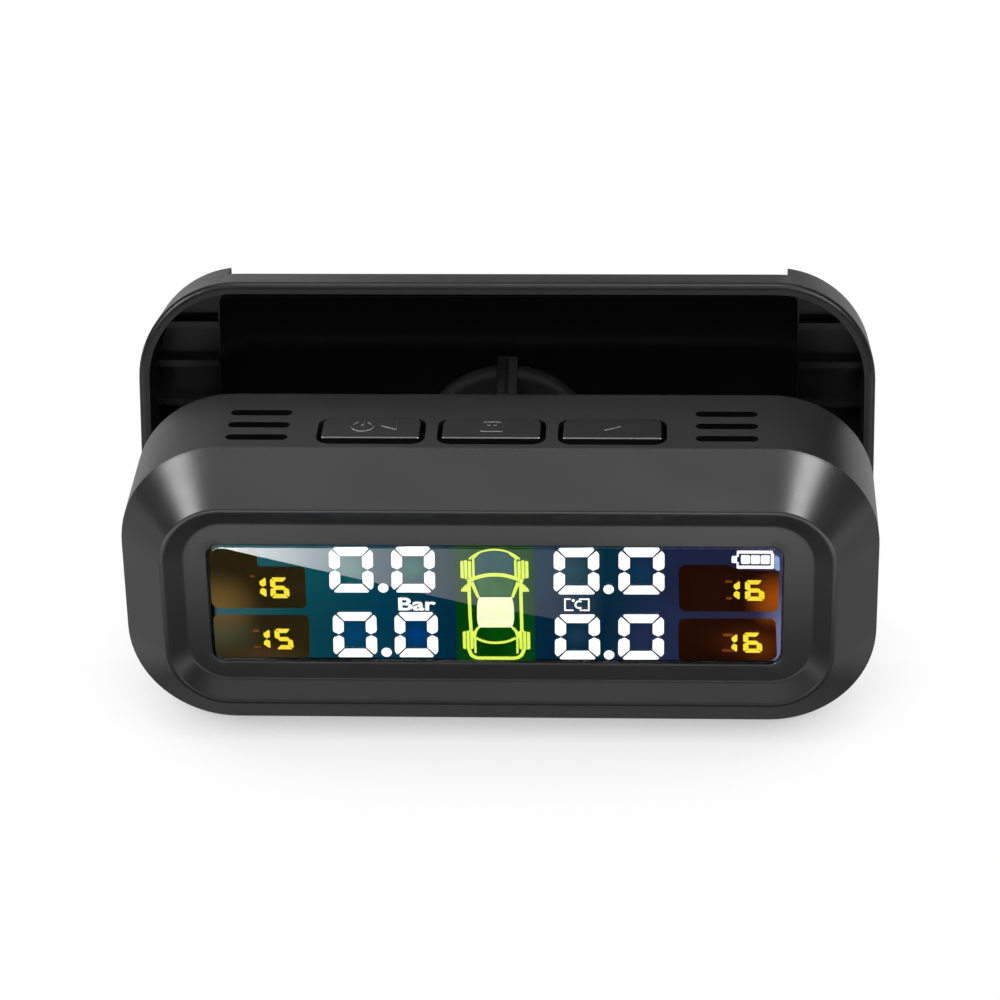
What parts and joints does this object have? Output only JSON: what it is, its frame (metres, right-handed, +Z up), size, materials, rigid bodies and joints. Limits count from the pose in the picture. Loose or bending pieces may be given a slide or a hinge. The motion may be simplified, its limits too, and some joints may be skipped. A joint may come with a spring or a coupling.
{
  "type": "tire pressure monitor display",
  "caption": "Dashboard or windscreen display for a wireless tyre pressure system: a wedge-fronted case with a wide screen, top push buttons and vents, on a tilting rear bracket.",
  "frame": {"origin": "on the surface the display stands on, under the middle of the whole unit's bounding box", "axes": "+X across the display towards its right-hand end as the driver sees it, +Y away from the driver towards the windscreen, +Z up"},
  "size_m": [0.1158, 0.0536, 0.0587],
  "materials": {
    "case_plastic": "fine satin moulded",
    "housing_plastic": "fine satin moulded",
    "bracket_plastic": "fine satin moulded",
    "button_plastic": "satin gloss",
    "gloss_panel": "high gloss",
    "clear_lens": "polished, faint blue coating",
    "black_tape": "matt",
    "white_plastic": "moulded",
    "screen_film": "polished film",
    "screen_glass": "polished",
    "white_film": "matt film",
    "clear_acrylic": "polished",
    "led_body": "moulded",
    "flex_film": "polyimide film",
    "circuit_board": "solder resist",
    "chip_epoxy": "moulded epoxy",
    "bright_can": "stamped, plated",
    "copper_wire": "enamelled",
    "battery_wrap": "foil pouch",
    "black_foam": "foam",
    "black_steel": "blackened",
    "bright_steel": "plated",
    "washer_plastic": "natural nylon",
    "black_felt": "felt",
    "solar_silicon": "cells",
    "solar_resin": "clear resin",
    "adhesive_tape": "foam tape with liner"
  },
  "bodies": {
    "bracket": {"mount_tray": "bracket_plastic", "centre_panel": "gloss_panel", "hinge_hub": "bracket_plastic", "hub_screws": "bright_steel", "solar_backing": "circuit_board", "solar_cells": "solar_silicon", "solar_cover": "solar_resin", "adhesive_pad_left": "adhesive_tape", "adhesive_pad_right": "adhesive_tape"},
    "display": {"front_bezel": "case_plastic", "rear_housing": "housing_plastic", "hinge_clevis": "bracket_plastic", "clevis_screws": "black_steel", "lens": "clear_lens", "lens_tape": "black_tape", "lcd_frame": "white_plastic", "lcd_polarizer": "screen_film", "lcd_front_glass": "screen_glass", "lcd_rear_glass": "screen_glass", "diffuser_sheet": "white_film", "light_guide": "clear_acrylic", "reflector_sheet": "white_film", "backlight_leds": "led_body", "lcd_flex": "flex_film", "main_pcb": "circuit_board", "controller_chip": "chip_epoxy", "radio_chip": "chip_epoxy", "crystal": "bright_can", "charger_chip": "chip_epoxy", "antenna_coil": "copper_wire", "battery_cell": "battery_wrap", "battery_foam": "black_foam", "buzzer": "chip_epoxy", "vibration_sensor": "bright_can", "usb_socket": "bright_can", "case_screws": "black_steel", "pcb_screws": "bright_steel", "tilt_bolt": "black_steel", "lock_washer": "black_steel", "tilt_nut": "black_steel", "friction_washers": "washer_plastic", "switch_left": "chip_epoxy", "switch_centre": "chip_epoxy", "switch_right": "chip_epoxy", "vent_felt_left": "black_felt", "vent_felt_right": "black_felt"},
    "button_left_body": {"button_left": "button_plastic", "plunger_left": "white_plastic"},
    "button_centre_body": {"button_centre": "button_plastic", "plunger_centre": "white_plastic"},
    "button_right_body": {"button_right": "button_plastic", "plunger_right": "white_plastic"}
  },
  "joints": [
    {"name": "tilt", "type": "hinge", "parent": "bracket", "child": "display", "pos_m": [0, 0.0062, 0.02983], "axis": [1, 0, 0], "range_deg": [-54, 4]},
    {"name": "press_left", "type": "slide", "parent": "display", "child": "button_left_body", "axis": [0, 0, -1], "range_m": [0, 0.00045], "stiffness_N_per_m": 1200, "springref_m": -0.0002},
    {"name": "press_centre", "type": "slide", "parent": "display", "child": "button_centre_body", "axis": [0, 0, -1], "range_m": [0, 0.00045], "stiffness_N_per_m": 1200, "springref_m": -0.0002},
    {"name": "press_right", "type": "slide", "parent": "display", "child": "button_right_body", "axis": [0, 0, -1], "range_m": [0, 0.00045], "stiffness_N_per_m": 1200, "springref_m": -0.0002}
  ]
}
